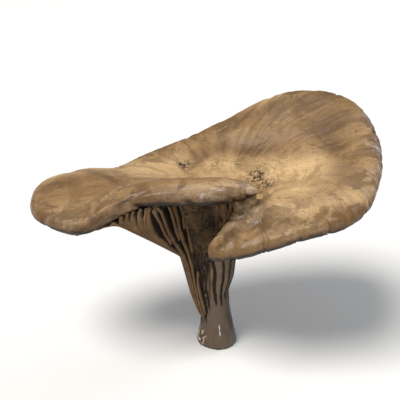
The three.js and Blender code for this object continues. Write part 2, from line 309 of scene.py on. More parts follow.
class Rim:
    """The outermost points of a cap's mesh all round its fan, to measure how far in a place lies."""

    STEP = math.radians(1.5)
    LOWEST_TURN = -2.6

    def __init__(self, mesh):
        farthest = {}
        for vertex in mesh.verts:
            sector = int((fan_turn(vertex.co) - self.LOWEST_TURN) / self.STEP)
            reach = fan_reach(vertex.co)
            if reach > farthest.get(sector, (0, None))[0]:
                farthest[sector] = (reach, vertex.co.copy())
        self.reaches = {sector: reach for sector, (reach, _) in farthest.items()}
        self.tree = tree_of([place for _, place in farthest.values()])

    def distance(self, place):
        """How far a place is from the rim, straight across."""
        return self.tree.find(place)[2]

    def share(self, place):
        """0 at the hub and 1 at the rim, along the spoke through a place."""
        position = (fan_turn(place) - self.LOWEST_TURN) / self.STEP - 0.5
        low = int(position)
        nearby = [self.reaches.get(low + i) for i in (0, 1)]
        known = [reach for reach in nearby if reach]
        if len(known) < 2:
            full = known[0] if known else fan_reach(place)
        else:
            full = known[0] + (known[1] - known[0]) * (position - low)
        return fan_reach(place) / max(full, MM)


# ---- The cap ----

# Swellings and furrows of the cap's top: place in plan, half-length, half-width, bearing in degrees, height.
CAP_FOLDS = [
    (18, 24, 14, 5, -18, -1.2),
    (16, 32, 20, 4, -20, 0.7),
    (-8, 25, 8, 4, 20, -0.7),
    (1, 18, 8, 6, 0, 1.0),
    (-18, 19, 9, 8, 20, 0.5),
    (47, 15, 20, 6, -66, -0.9),
    (58, 12, 18, 5, -75, 0.7),
    (34, -6, 18, 4, -8, 0.5),
    (16, 7, 6, 5, 30, -0.5),
    (-42, -4, 9, 2.2, -57, -1.4),
    (-36, -12, 9, 1.3, 52, 0.9),
    (-40, -16, 9, 1.1, 50, 0.8),
    (-44, -19, 8, 1.0, 50, 0.6),
    (-54, -12, 12, 6, -10, -0.8),
    (-62, -18, 14, 3, -22, 0.6),
    (-20, -17, 26, 3, 2, 0.5),
    (5, -31, 7, 3, -25, 0.8),
    (13, -28, 6, 1.8, 60, -0.8),
    (2, -27, 5, 1.4, 60, -0.6),
    (20, -33, 8, 2.5, 10, 0.6),
    (38, -29, 9, 4, 25, 0.4),
]

# Fine dark creases of the cap's top, and pale lines: painted highlights on fine folds of the left lobe and
# pale cracks along the far rim, each a line through places of the plan.
CREASES = [
    [(-3, 22), (0, 24.5), (4, 24), (7, 21), (8, 17)],
    [(-2.5, 17), (-1.5, 20), (2, 21.5)],
    [(17, 17), (21, 14.5), (24, 10), (25, 5)],
    [(21, 18), (25.5, 14), (28, 9)],
    [(12, 12), (15, 9), (14, 5), (17, 2)],
    [(20, 14), (17, 9), (19.5, 5), (17, 0), (15, -4)],
    [(24, 4), (20, 1), (17, -3)],
    [(11, 9), (13, 6), (17, 7), (20, 9)],
    [(-17, 24), (-15, 20), (-16, 16), (-13, 13)],
    [(-18, 19), (-15, 18), (-12, 20)],
    [(0, 39), (0.5, 35), (3, 31), (8, 28)],
    [(-16, 36), (-12, 34), (-14, 31)],
    [(-24, 33), (-20, 31), (-17, 32)],
    [(10, 29), (15, 27), (22, 26)],
    [(36, 24), (42, 20), (46, 14)],
    [(38, 18), (44, 14), (48, 7)],
    [(66.5, 14), (62, 12.5), (57, 12)],
    [(66, 5), (61, 4)],
    [(65, -9), (60, -7)],
    [(63, -17), (59, -15), (56, -16)],
    [(57, -28), (54, -24), (51, -21)],
    [(48, -35), (46, -29), (43, -26), (41, -26)],
    [(31, -37), (32, -31), (28, -28)],
    [(12, -27), (16, -29), (18, -33), (18, -36)],
    [(3, -27), (5, -31), (9, -35)],
    [(-1, -28), (0, -33)],
    [(8, -24), (10, -28)],
    [(20, -29), (25, -32), (26, -35)],
    [(-61, -25), (-62, -21), (-64, -18)],
    [(-76, -8), (-71, -14), (-65, -18), (-58, -20)],
    [(-52, -27), (-50, -22)],
    [(-42, -25), (-41, -21), (-42, -18)],
    [(-38, -26), (-37, -22)],
    [(-9, -20), (-4, -22), (0, -24)],
    [(1, -19), (6, -22), (9, -23)],
    [(-3, -25), (3, -26)],
    [(-22, -24), (-15, -23)],
]
# Pale lines: those on the left lobe are painted highlights on fine folds, those along the far rim are pale
# cracks.
SCRATCHES = [
    [(-50, -21), (-43, -16), (-36, -11)],
    [(-48, -23), (-41, -18), (-35, -13.5)],
    [(-42, -22.5), (-37, -18.5)],
    [(-35, -11), (-28, -8), (-18, -8)],
    [(-34, 29), (-27, 32.5)],
    [(-24, 34), (-17, 37)],
    [(-1, 38), (4, 39.5)],
    [(-6, 34), (-3, 37)],
    [(9, 35), (14, 33)],
    [(-40, 22), (-35, 26)],
    [(-60, -25), (-55, -26.5)],
]

# Short cracks and nicks across the rim: turn about the hub in degrees, depth of the nick, half-width.
RIM_NICKS = [
    (-108, 0.9, 1.6), (-84, 1.0, 0.8), (-62, 0.6, 1.2), (-47, 0.9, 0.9), (-29, 0.9, 1.0), (-14, 0.8, 0.9),
    (4, 1.1, 0.9), (21, 1.3, 0.8), (48, 0.8, 0.9), (78, 0.5, 1.5), (118, 0.6, 1.6), (149, 0.7, 1.1),
    (171, 0.8, 0.9), (188, 1.3, 0.9), (200, 1.3, 1.2), (214, 0.8, 1.0), (243, 0.7, 0.9), (259, 0.9, 0.9),
]


# Where the cap's colours change, as soft spots: place in plan, half-length, half-width, bearing in degrees
# and strength.
CAP_TONES = {
    "paleness": [
        (-30, 14, 14, 13, 20, 0.75), (-20, 22, 12, 7, 15, 0.7), (1, 18, 9, 7.5, 0, 0.95),
        (18, 11, 10, 8, 0, 0.7), (31, 5, 15, 9, 0, 0.85), (42, 2, 8, 12, 0, 0.6), (30, -8, 15, 8, 0, 0.85),
        (22, -18, 10, 10, 0, 0.55), (12, -25, 7, 7, 0, 0.5), (-10, 6, 22, 6, 0, 0.6),
        (40, -25, 20, 9, 10, 0.3), (57, 0, 5, 16, 0, 0.3), (-64, -20, 10, 3, -20, 0.3),
        (24, 33, 12, 3, -25, 0.3), (24, 45, 20, 4, -8, 0.85), (0, -24, 20, 5, 0, 0.7),
        (10, -20, 8, 5, 0, 0.5), (36, -30, 16, 5, 8, 0.5), (20, -26, 7, 4, 20, 0.5),
        (-50, 20, 14, 6, 20, 0.6), (-66, 8, 10, 6, 20, 0.55), (-57, -17, 9, 4, 0, 0.45),
        (28, -31, 7, 5, 20, 0.5), (48, -24, 7, 6, 40, 0.45),
    ],
    "darkness": [
        (16, 24.5, 12, 3.8, -12, 0.95), (0, 29, 12, 3, 5, 0.5), (-9, 24, 4, 5, 0, 0.35),
        (36, 26, 14, 5, -28, 0.55), (47, 16, 14, 4.5, -68, 0.85), (44, 30, 10, 6, -30, 0.4),
        (20, 40, 28, 5, -5, 0.5), (52, 36, 12, 8, -50, 0.4), (57, 24, 8, 6, 0, 0.3),
        # The first spot below lies along the furrow at (-42, -4) and is painted shadow of that fold.
        (-42, -4, 9.5, 1.8, -57, 0.9), (-54, -13, 10, 4.5, 0, 0.55), (-66, -2, 7, 8, 70, 0.3),
        (-70, -13, 7, 5, -40, 0.3), (-14, -14, 24, 6, 0, 0.35), (-30, 33, 14, 3, 22, 0.4),
        (4, -31, 4.5, 3, -50, 0.85), (14, -30, 2.5, 5, 40, 0.75), (22, -34, 6, 2, 12, 0.6),
        (40, -33, 8, 2.5, 10, 0.55), (3, -26, 3, 2, 0, 0.6), (-2, -33, 4, 2, 0, 0.7),
        (16, -34, 10, 2, 10, 0.5), (51, -2, 7, 16, 0, 0.5), (-46, -6, 7, 6, 0, 0.35),
        (-60, -3, 7, 5, 20, 0.4), (-66, -21, 12, 3, -25, 0.5), (52, 22, 9, 12, 0, 0.45),
    ],
    # These spots are partly the greyish-mauve tone of the margin and partly painted sheen, and the painted
    # glints are laid on them too.
    "bloom": [
        (63, 0, 4, 18, 0, 0.85), (59, -21, 5, 11, -28, 0.7), (32, -25, 24, 7, 4, 0.45),
        (50, -10, 7, 16, 10, 0.3), (-5, -25, 16, 3, 0, 0.8), (8, -21, 7, 3.5, 20, 0.55),
        (-22, -24, 14, 2.5, 0, 0.4), (-60, -25, 13, 2.5, -5, 0.4), (62, 26, 4, 12, 15, 0.5),
    ],
    "specks": [
        (-15, 20, 3.0, 4.2, 10, 1), (16, 8, 4.2, 5.0, -20, 1), (20, 1.5, 3.5, 3, 30, 0.8),
        (15.5, -3, 2.5, 3.5, 20, 0.6), (0, 18.5, 2.5, 3, 0, 0.45), (-12, 9, 2.5, 4, 0, 0.35),
        (8, 18, 4, 3, 0, 0.3), (3, -30, 5, 4, 0, 0.4),
    ],
}

# How far upward the skin faces where its top begins and where it is full, for its relief and for its marks.
TOP_RELIEF_FROM, TOP_RELIEF_TO = 0.1, 0.5
TOP_MARKS_FROM, TOP_MARKS_TO = 0.1, 0.4

# How far in from the rim the crinkled edge fades and the folds are full, and how far out from the hub the
# fibres begin.
EDGE_FROM, EDGE_TO = 1 * MM, 8 * MM
FOLDS_FULL = 5 * MM
FIBRES_FROM, FIBRES_TO = 18 * MM, 34 * MM

# The whole skin lies this far in, so that its lumps stay inside the solid's box.
SKIN_SUNK = 0.2 * MM


def soft_spot(place, spot):
    """How strongly a long soft-edged spot of the plan covers a place, from 0 to 1."""
    x, y, half_length, half_width, bearing = spot[:5]
    across = Vector((place.x / MM - x, place.y / MM - y)) @ Matrix.Rotation(math.radians(bearing), 2)
    return math.exp(-((across.x / half_length) ** 2) - (across.y / half_width) ** 2)


class Lines:
    """Bent lines drawn on the plan, to tell how near a place is to one of them."""

    STEP = 0.3 * MM
    BEND_SIZE = 3 * MM

    def __init__(self, lines, wobble, seed):
        points = []
        for line in lines:
            for (x0, y0), (x1, y1) in zip(line, line[1:]):
                start, end = Vector((x0, y0, 0)) * MM, Vector((x1, y1, 0)) * MM
                steps = max(int((end - start).length / self.STEP), 1)
                for i in range(steps + 1):
                    place = start.lerp(end, i / steps)
                    bend = [layered_noise(place, self.BEND_SIZE, seed + axis) for axis in (0, 1)]
                    points.append(place + Vector((*bend, 0)) * wobble)
        self.tree = tree_of(points)

    def nearness(self, place, width):
        """1 on a line, falling to 0 over about two widths."""
        return bell(self.tree.find(Vector((place.x, place.y, 0)))[2], width)


def rim_nick(turn, reach):
    """How deep the rim is nicked on a bearing."""
    nick = 0
    for bearing, depth, width in RIM_NICKS:
        nick = max(nick, depth * bell(abs(turn - math.radians(bearing)) * reach, width * MM))
    return nick * MM


def cap_relief(place, normal, rim, creases, settings):
    """How far the skin stands out of the smooth cap at a place."""
    inward = rim.distance(place)
    turn, reach = fan_turn(place), fan_reach(place)
    top = ease(normal.z, TOP_RELIEF_FROM, TOP_RELIEF_TO)
    near_rim = 1 - ease(inward, EDGE_FROM, EDGE_TO)
    spoke = Vector((swirled(place) * 34 * MM, reach * 0.16, 0))
    fibres = layered_noise(spoke, 0.9 * MM, Seed.CAP_FIBRES) * ease(reach, FIBRES_FROM, FIBRES_TO)
    lumps = layered_noise(place, 11 * MM, Seed.CAP_LUMPS)
    pits = layered_noise(place, 3.2 * MM, Seed.CAP_PITS)
    edge = Vector((turn * FAN_REACH, inward * 0.4, 0))
    crinkle = layered_noise(edge, 4.0 * MM, Seed.CAP_CRINKLE)
    folded = sum(fold[5] * soft_spot(place, fold) for fold in CAP_FOLDS) * MM
    folds = folded * top * ease(inward, 0, FOLDS_FULL)
    crease = creases.nearness(place, 0.55 * MM) * top * (0.05 + 0.5 * near_rim)
    relief = folds + 0.25 * MM * lumps - crease * MM
    relief += settings.wrinkles * (0.25 * fibres * top + 0.4 * pits + 0.5 * crinkle * near_rim)
    return relief - rim_nick(turn, reach) * near_rim - SKIN_SUNK


def store_cap_attributes(cap, mesh, rim, creases):
    """Writes what the cap's material reads: where each place lies on the fan, and what marks it."""
    cracks_and_glints = Lines(SCRATCHES, 0.4 * MM, Seed.SCRATCHES)
    places = [v.co.copy() for v in mesh.verts]
    tops = [ease(v.normal.z, TOP_MARKS_FROM, TOP_MARKS_TO) for v in mesh.verts]
    fan = [(swirled(p) * FAN_REACH, fan_reach(p), rim.share(p)) for p in places]
    store(cap, "fan", fan, "FLOAT_VECTOR")
    store(cap, "inward", [rim.distance(p) / MM for p in places])
    # How far the skin faces down, from which the material paints shade under the rim.
    store(cap, "under", [-v.normal.z for v in mesh.verts])
    store(cap, "crease", [creases.nearness(p, 0.38 * MM) * top for p, top in zip(places, tops)])
    # Pale lines: painted highlights on fine folds, and pale cracks.
    store(cap, "scratch", [cracks_and_glints.nearness(p, 0.36 * MM) * top for p, top in zip(places, tops)])
    for name, spots in CAP_TONES.items():
        store(cap, name, [1 - math.prod(1 - spot[5] * soft_spot(p, spot) for spot in spots) for p in places])


def build_cap(settings):
    """The cap's flesh, from its solid."""
    mesh = solid_mesh("cap")
    bmesh.ops.join_triangles(
        mesh, faces=mesh.faces, angle_face_threshold=math.radians(30), angle_shape_threshold=math.radians(60)
    )
    cap = object_from(mesh, "cap_flesh")
    remesh(cap, levels=2, voxel=settings.grain, smoothing=6)
    mesh = bmesh.new()
    mesh.from_mesh(cap.data)
    rim = Rim(mesh)
    creases = Lines(CREASES, 0.8 * MM, Seed.CREASES)
    moved = [v.co + v.normal * cap_relief(v.co, v.normal, rim, creases, settings) for v in mesh.verts]
    for vertex, place in zip(mesh.verts, moved):
        vertex.co = place
    mesh.normal_update()
    mesh.to_mesh(cap.data)
    store_cap_attributes(cap, mesh, rim, creases)
    mesh.free()
    return cap


# ---- The gills ----

# The middle of the stalk from its cut up to the gill axis: x, y and height in millimetres.
LEAN = [(0, 0, 0), (-0.9, -0.5, 12.5), (-2.8, -1.5, 26), (-4.5, -3, 44.5)]

# How far out from the axis the two tiers of short gills start, and how much thinner each tier is.
SHORT_GILLS_FROM = (6 * MM, 18 * MM)
TIER_THINNING = 0.1

# Bearings, in radians, between which the gills sink into the stem and leave only grooves on it, and how far
# out from the axis the long ones start there.
SPARSE_FROM = math.radians(-100)
SPARSE_TO = math.radians(20)
SPARSE_START = 11 * MM

# How far each gill strays from its bearing, as a share of the step to the next, and from its start.
BEARING_STRAY = 0.25
START_STRAY = (0.85, 1.2)

# Corners closer than this are joined and edges longer than this are halved, to give a gill an even outline.
CORNERS_JOINED = 0.12 * MM
EDGES_HALVED = 1.6 * MM

# A gill that starts away from the axis is cut off along a line that slopes down and out, and passes over its
# start at this height.
TAPER_OUT, TAPER_UP = 0.85, 0.5
TAPER_HEIGHT = 60 * MM

# A gill's corners nearer than this to the cap or the stem are its roots.
ROOTED = 0.6 * MM

# How far in from the rim the gills rise out of the cap, and how far in they reach their full height.
RIM_THINNING = (3.5 * MM, 14 * MM)


def lean_at(height):
    """How far the stalk's middle lies from the gill axis at a height."""
    low = LEAN[0]
    for high in LEAN[1:]:
        if height < high[2] * MM:
            share = max(height / MM - low[2], 0) / (high[2] - low[2])
            middle = [low[i] + (high[i] - low[i]) * share for i in (0, 1)]
            return Vector((*middle, 0)) * MM - GILL_AXIS
        low = high
    return Vector((0, 0, 0))


def gill_directions(bearing):
    """The ways out from the gill axis on a bearing and across it."""
    outward = Vector((math.cos(bearing), math.sin(bearing), 0))
    return outward, Vector((-outward.y, outward.x, 0))


def gill_outlines(solid, bearing):
    """The closed edges where a solid meets the half-plane on a bearing from the gill axis."""
    outward, across = gill_directions(bearing)
    cut = solid.copy()
    cut_by_plane(cut, GILL_AXIS, outward, clear_inner=True, dist=0.001 * MM)
    made = cut_by_plane(cut, GILL_AXIS, across, dist=0.001 * MM)
    kept = set(corners_among(made))
    bmesh.ops.delete(cut, geom=cut.faces[:], context="FACES_ONLY")
    bmesh.ops.delete(cut, geom=[v for v in cut.verts if v not in kept], context="VERTS")
    kept_edges = {item for item in made if isinstance(item, bmesh.types.BMEdge) and item.is_valid}
    bmesh.ops.delete(cut, geom=[e for e in cut.edges if e not in kept_edges], context="EDGES")
    return cut


def fill_outline(outline):
    """Evens out a gill's outline and gives it a face."""
    bmesh.ops.remove_doubles(outline, verts=outline.verts, dist=CORNERS_JOINED)
    for _ in range(2):
        long_edges = [e for e in outline.edges if e.calc_length() > EDGES_HALVED]
        bmesh.ops.subdivide_edges(outline, edges=long_edges, cuts=1)
    for _ in range(3):
        smooth_corners(outline, outline.verts)
    bmesh.ops.holes_fill(outline, edges=outline.edges)
    if not outline.faces:
        bmesh.ops.edgenet_fill(outline, edges=outline.edges)


def drop_slivers(outline):
    """Leaves at most two faces on an edge, no stray edge or corner, and no two parts pinched at a corner."""
    crowded = [e for e in outline.edges if len(e.link_faces) > 2]
    slivers = {min(e.link_faces, key=lambda face: face.calc_area()) for e in crowded}
    bmesh.ops.delete(outline, geom=list(slivers), context="FACES_ONLY")
    bmesh.ops.delete(outline, geom=[e for e in outline.edges if not e.link_faces], context="EDGES")
    bmesh.ops.delete(outline, geom=[v for v in outline.verts if not v.link_faces], context="VERTS")
    for vertex in [v for v in outline.verts if sum(e.is_boundary for e in v.link_edges) > 2]:
        bmesh.utils.vert_separate(vertex, [e for e in vertex.link_edges if e.is_boundary])


def shape_gill(outline, bearing, start, thickness):
    """Turns the outline into a smooth thin gill, tapered in from where it starts."""
    outward, across = gill_directions(bearing)
    fill_outline(outline)
    if start:
        taper = (outward * TAPER_OUT + Vector((0, 0, TAPER_UP))).normalized()
        place = GILL_AXIS + outward * start + Vector((0, 0, TAPER_HEIGHT))
        cut_by_plane(outline, place, taper, clear_inner=True)
    bmesh.ops.triangulate(outline, faces=outline.faces)
    drop_slivers(outline)
    bmesh.ops.recalc_face_normals(outline, faces=outline.faces)
    bmesh.ops.translate(outline, verts=outline.verts, vec=-across * thickness / 2)
    pushed = bmesh.ops.extrude_face_region(outline, geom=outline.faces[:], use_keep_orig=True)
    bmesh.ops.translate(outline, verts=corners_among(pushed["geom"]), vec=across * thickness)
    bmesh.ops.recalc_face_normals(outline, faces=outline.faces)


def blade_depths(places, backing):
    """For each corner of one gill, how far it lies from the gill's free edge."""
    gaps = [min(tree.find_nearest(place)[3] for tree in backing) for place in places]
    free = [place for place, gap in zip(places, gaps) if gap > ROOTED]
    if not free:
        return [0] * len(places)
    tree = tree_of(free)
    return [0 if gap > ROOTED else tree.find(place)[2] / MM for place, gap in zip(places, gaps)]


def gill_bearings(long_gills):
    """Bearing, distance from the axis where it starts and thickness share of every gill."""
    gills = []
    step = 2 * math.pi / (4 * long_gills)
    for i in range(4 * long_gills):
        bearing = wrapped(i * step, 2 * math.pi)
        tier = 0 if i % 4 == 0 else 1 if i % 2 == 0 else 2
        start = 0 if tier == 0 else SHORT_GILLS_FROM[tier - 1]
        if tier == 0 and SPARSE_FROM < bearing < SPARSE_TO:
            start = SPARSE_START
        gills.append((bearing, start, 1 - TIER_THINNING * tier))
    return gills


def waver(place, amount):
    """The sideways stray of the gills at a place: slow, and shared with their neighbours."""
    away = Vector((place.x, place.y, 0)) - GILL_AXIS
    far = ease(away.length, 8 * MM, 40 * MM)
    across = Vector((-away.y, away.x, 0)).normalized()
    slow = layered_noise(place, 16 * MM, Seed.GILL_WAVER, 2)
    quick = layered_noise(place, 5 * MM, Seed.GILL_QUIVER, 2)
    return across * amount * (slow * (0.6 + 1.6 * far) + 0.25 * quick)


def settle_gill(gill, rim, cap, amount):
    """Thins a gill out to nothing near the rim and lets it waver."""
    for vertex in gill.verts:
        full = ease(rim.distance(vertex.co), *RIM_THINNING)
        root = cap.find_nearest(vertex.co)[0]
        vertex.co += (root - vertex.co) * (1 - full) + waver(vertex.co, amount)


def build_gills(settings):
    """All the gills as one piece, each a thin blade cut to the gill layer's outline."""
    solid = solid_mesh("gills")
    for vertex in solid.verts:
        vertex.co -= lean_at(vertex.co.z)
    backing = [surface_of("cap"), surface_of("stem")]
    cap = solid_mesh("cap")
    rim = Rim(cap)
    cap.free()
    scatter = random.Random(Seed.GILL_SCATTER)
    step = math.radians(360 / (4 * settings.long_gills))
    whole = bmesh.new()
    depths = []
    for bearing, start, share in gill_bearings(settings.long_gills):
        strayed = bearing + scatter.uniform(-BEARING_STRAY, BEARING_STRAY) * step
        begin = start * scatter.uniform(*START_STRAY)
        gill = gill_outlines(solid, strayed)
        if len(gill.edges) > 2:
            shape_gill(gill, strayed, begin, settings.thickness * share)
            for vertex in gill.verts:
                vertex.co += lean_at(vertex.co.z)
            depths += blade_depths([v.co.copy() for v in gill.verts], backing)
            settle_gill(gill, rim, backing[0], settings.waver)
            part = bpy.data.meshes.new("gill")
            gill.to_mesh(part)
            whole.from_mesh(part)
            bpy.data.meshes.remove(part)
        gill.free()
    solid.free()
    gills = object_from(whole, "gill_blades")
    # How deep each corner lies, which the material uses to paint shade between the gills.
    store(gills, "depth", depths)
    return gills


# ---- The stem ----

# Heights in millimetres at which the grooves between the gills fade out on the stem, every 45 degrees from
# +X, over how many millimetres they do, and where they end under the cap.
GROOVE_ENDS = [14, 14, 13, 11, 9, 7, 20, 18]
GROOVE_FADE = 8
GROOVE_TOP = 60

# The bare strip up the front: its bearing and half-width in degrees, and the heights over which it widens.
STRIP_BEARING = -104
STRIP_HALF_WIDTH = 28
STRIP_FROM, STRIP_TO = 24 * MM, 52 * MM

# The rough knob low on the front and the slight swelling beside it, each a place and a radius.
KNOB, KNOB_RADIUS = Vector((-7.4, -4.6, 4)) * MM, 3.4 * MM
SWELLING, SWELLING_RADIUS = Vector((1, -9.5, 6)) * MM, 6 * MM

# How far the gills stand out of the finished stem, how deep their roots are looked for, and the heights over
# which the stem's flesh stops filling the space between them.
GILLS_STAND_OUT = 0.9 * MM
DEEPEST_GILL_ROOT = 4 * MM
FILLING_FROM, FILLING_TO = 46 * MM, 58 * MM

# The relief begins over these heights, what lies below the next is left unsmoothed, and corners this close to
# the lowest are laid flat on the cut.
RELIEF_FROM, RELIEF_TO = 0.3 * MM, 2 * MM
SMOOTHED_ABOVE = 3 * MM
CUT_LAYER = 0.35 * MM


def around_loop(values, bearing):
    """A value read between values at equal bearings, in degrees."""
    position = bearing % 360 / 360 * len(values)
    low = int(position) % len(values)
    return values[low] + (values[(low + 1) % len(values)] - values[low]) * ease(position % 1, 0, 1)


def stem_grooves(long_gills):
    """Bearing in degrees, lowest height, half-width and depth of each groove between two gills."""
    scatter = random.Random(Seed.GROOVE_SCATTER)
    step = 360 / long_gills
    grooves = []
    for i in range(long_gills):
        bearing = (i + 0.5) * step
        sparse = SPARSE_FROM < math.radians(wrapped(bearing)) < SPARSE_TO
        low = around_loop(GROOVE_ENDS, bearing) + scatter.uniform(-2, 3)
        width, depth = scatter.uniform(0.32, 0.5), scatter.uniform(0.5, 0.95)
        if sparse:
            bearing, width = bearing + step / 2, width * 1.7
        if not (sparse and i % 2):
            grooves.append((bearing, low, width, depth))
    return grooves


def from_axis(place):
    """A place's offset in plan from the middle of the stalk at its height."""
    return Vector((place.x, place.y, 0)) - GILL_AXIS - lean_at(place.z)


def bearing_of(away):
    """The bearing of an offset, in radians."""
    return math.atan2(away.y, away.x)


def groove_at(place, grooves):
    """How deep in a groove of the stem a place is, in millimetres."""
    away = from_axis(place)
    bearing = math.degrees(bearing_of(away)) + 3 * layered_noise(place, 7 * MM, Seed.GROOVES, 2)
    height = place.z / MM
    deepest = 0
    for groove, low, width, depth in grooves:
        across = math.radians(abs(wrapped(bearing - groove))) * away.length / MM
        if across < 3 * width:
            begun = ease(height, low - 1, low + GROOVE_FADE)
            along = begun * (1 - ease(height, GROOVE_TOP - 10, GROOVE_TOP))
            deepest = max(deepest, depth * along * bell(across, width))
    return deepest


def in_bare_strip(place):
    """1 on the bare strip up the front of the stem, where there are no gills, and 0 away from it."""
    apart = abs(wrapped(math.degrees(bearing_of(from_axis(place))) - STRIP_BEARING))
    width = STRIP_HALF_WIDTH * ease(place.z, STRIP_FROM, STRIP_TO)
    return 1 - ease(apart, width - 6, width + 2) if width else 0


def sunk(place):
    """1 where the gills are sunk into the stem and only grooves show, 0 where they stand out of it."""
    middle = (SPARSE_FROM + SPARSE_TO) / 2
    half = (SPARSE_TO - SPARSE_FROM) / 2
    apart = abs(wrapped(bearing_of(from_axis(place)) - middle, 2 * math.pi))
    return 1 - ease(apart, half - math.radians(6), half + math.radians(4))


def gill_cover(vertex, gill_faces):
    """How thick the gill layer lies over a place of the stem."""
    return gill_faces.ray_cast(vertex.co, vertex.normal, DEEPEST_GILL_ROOT)[3] or 0


def stem_relief(place, grooves, cover):
    """How far the skin stands out of the smooth stem: out to the gills' roots, and nothing on the cut."""
    bearing = bearing_of(from_axis(place))
    fibres = layered_noise(Vector((bearing * STEM_REACH, place.z * 0.12, 0)), 0.9 * MM, Seed.STEM_FIBRES)
    lumps = layered_noise(place, 7 * MM, Seed.STEM_LUMPS)
    knob = bell((place - KNOB).length, KNOB_RADIUS)
    rough = layered_noise(place, 1.4 * MM, Seed.KNOB_ROUGHNESS) * knob
    grooved = groove_at(place, grooves) * (1 - 0.8 * in_bare_strip(place))
    swollen = bell((place - SWELLING).length, SWELLING_RADIUS)
    relief = (0.08 * fibres + 0.22 * lumps + 0.3 * knob + 0.6 * rough + 1.9 * swollen - 0.8 * grooved) * MM
    stand_out = GILLS_STAND_OUT * (1 - 0.9 * sunk(place))
    relief += max(cover - stand_out, 0) * (1 - ease(place.z, FILLING_FROM, FILLING_TO))
    return relief * ease(place.z, RELIEF_FROM, RELIEF_TO)


def outer_gill_faces():
    """A search tree over the gill layer's outer side on the stem, which is what lies clear of the stem."""
    stem = surface_of("stem")
    mesh = solid_mesh("gills")
    inner = [f for f in mesh.faces if stem.find_nearest(f.calc_center_median())[3] < 0.5 * MM]
    bmesh.ops.delete(mesh, geom=inner, context="FACES")
    tree = bvhtree.BVHTree.FromBMesh(mesh)
    mesh.free()
    return tree


def shape_stem(mesh, grooves, covers):
    """Gives the smooth stem its relief and lays its cut flat."""
    moved = [v.co + v.normal * stem_relief(v.co, grooves, cover) for v, cover in zip(mesh.verts, covers)]
    for vertex, place in zip(mesh.verts, moved):
        vertex.co = place
    for _ in range(2):
        smooth_corners(mesh, [v for v in mesh.verts if v.co.z > SMOOTHED_ABOVE])
    lowest = min(v.co.z for v in mesh.verts)
    for vertex in mesh.verts:
        if vertex.co.z < lowest + CUT_LAYER:
            vertex.co.z = 0
    mesh.normal_update()


def store_stem_attributes(stem, mesh, grooves, covers):
    """Writes what the stem's material reads: where each place lies round the stem, and where it paints shade
    in the grooves, on the bare strip and between the gills' roots.
    """
    places = [v.co.copy() for v in mesh.verts]
    offsets = [from_axis(p) for p in places]
    arounds = [(bearing_of(away) * STEM_REACH, p.z, away.length) for away, p in zip(offsets, places)]
    store(stem, "around", arounds, "FLOAT_VECTOR")
    bare = [in_bare_strip(p) for p in places]
    # How deep in a groove each place lies, which the material paints near-black as shade.
    store(stem, "groove", [groove_at(p, grooves) * (1 - 0.6 * strip) for p, strip in zip(places, bare)])
    store(stem, "bare", bare)
    # Where the gills stand over the stem, which the material paints near-black as shade between them.
    gaps = [ease(cover, 0.15 * MM, 0.7 * MM) * (1 - sunk(p)) for p, cover in zip(places, covers)]
    store(stem, "gap", [gap * (1 - strip) for gap, strip in zip(gaps, bare)])


def build_stem(settings):
    """The stem's flesh, from its solid, with its cut left flat."""
    stem = object_from(solid_mesh("stem"), "stem_flesh")
    remesh(stem, levels=0, voxel=settings.grain, smoothing=14)
    grooves = stem_grooves(bpy.context.scene.fungus_gills.long_gills)
    gill_faces = outer_gill_faces()
    mesh = bmesh.new()
    mesh.from_mesh(stem.data)
    covers = [gill_cover(v, gill_faces) for v in mesh.verts]
    shape_stem(mesh, grooves, covers)
    mesh.to_mesh(stem.data)
    store_stem_attributes(stem, mesh, grooves, covers)
    mesh.free()
    return stem


# ---- Material helpers ----


def new_material(name):
    """A new material, its node tree and its shader."""
    material = bpy.data.materials.new(name)
    material.use_nodes = True
    return material, material.node_tree, material.node_tree.nodes["Principled BSDF"]


def set_inputs(tree, node, values):
    """Sets a node's inputs by name or number, by a link where the value comes from another node."""
    for name, value in values.items():
        if isinstance(value, bpy.types.NodeSocket):
            tree.links.new(value, node.inputs[name])
        else:
            node.inputs[name].default_value = value


def add(tree, kind, **values):
    """Adds a node and sets its properties, and its inputs by name or number."""
    node = tree.nodes.new(kind)
    inputs = values.pop("inputs", {})
    for name, value in values.items():
        setattr(node, name, value)
    set_inputs(tree, node, inputs)
    return node


def attribute(tree, name, output="Fac"):
    """A value, or a vector, that the piece holds for each vertex."""
    return add(tree, "ShaderNodeAttribute", attribute_name=name).outputs[output]


def bump(tree, strength, distance, height):
    """A normal bent by a height."""
    node = add(tree, "ShaderNodeBump", inputs={"Strength": strength, "Distance": distance, "Height": height})
    return node.outputs[0]


def axis(tree, vector, index):
    """One number of a vector."""
    return add(tree, "ShaderNodeSeparateXYZ", inputs={0: vector}).outputs[index]


def object_place(tree):
    """Where a point lies in the piece's own space."""
    return add(tree, "ShaderNodeTexCoord").outputs["Object"]


def colour(value):
    """A settings colour as a socket wants it."""
    return (*value, 1)


def maths(tree, operation, first, second=0.5, third=None, clamp=False):
    """One Math node's result."""
    inputs = {0: first, 1: second}
    if third is not None:
        inputs[2] = third
    return add(tree, "ShaderNodeMath", operation=operation, use_clamp=clamp, inputs=inputs).outputs[0]


def product(tree, first, second, clamp=False):
    """Two values multiplied."""
    return maths(tree, "MULTIPLY", first, second, clamp=clamp)


def stray(tree, value, drift, amount, clamp=False):
    """A value moved up and down by a noise about its middle."""
    return maths(tree, "MULTIPLY_ADD", maths(tree, "SUBTRACT", drift, 0.5), amount, value, clamp)


def span(tree, value, low, high, out_low=0.0, out_high=1.0):
    """A value carried from one range to another, smoothly and held at its ends."""
    node = add(
        tree, "ShaderNodeMapRange", interpolation_type="SMOOTHSTEP",
        inputs={"Value": value, "From Min": low, "From Max": high, "To Min": out_low, "To Max": out_high},
    )
    return node.outputs[0]


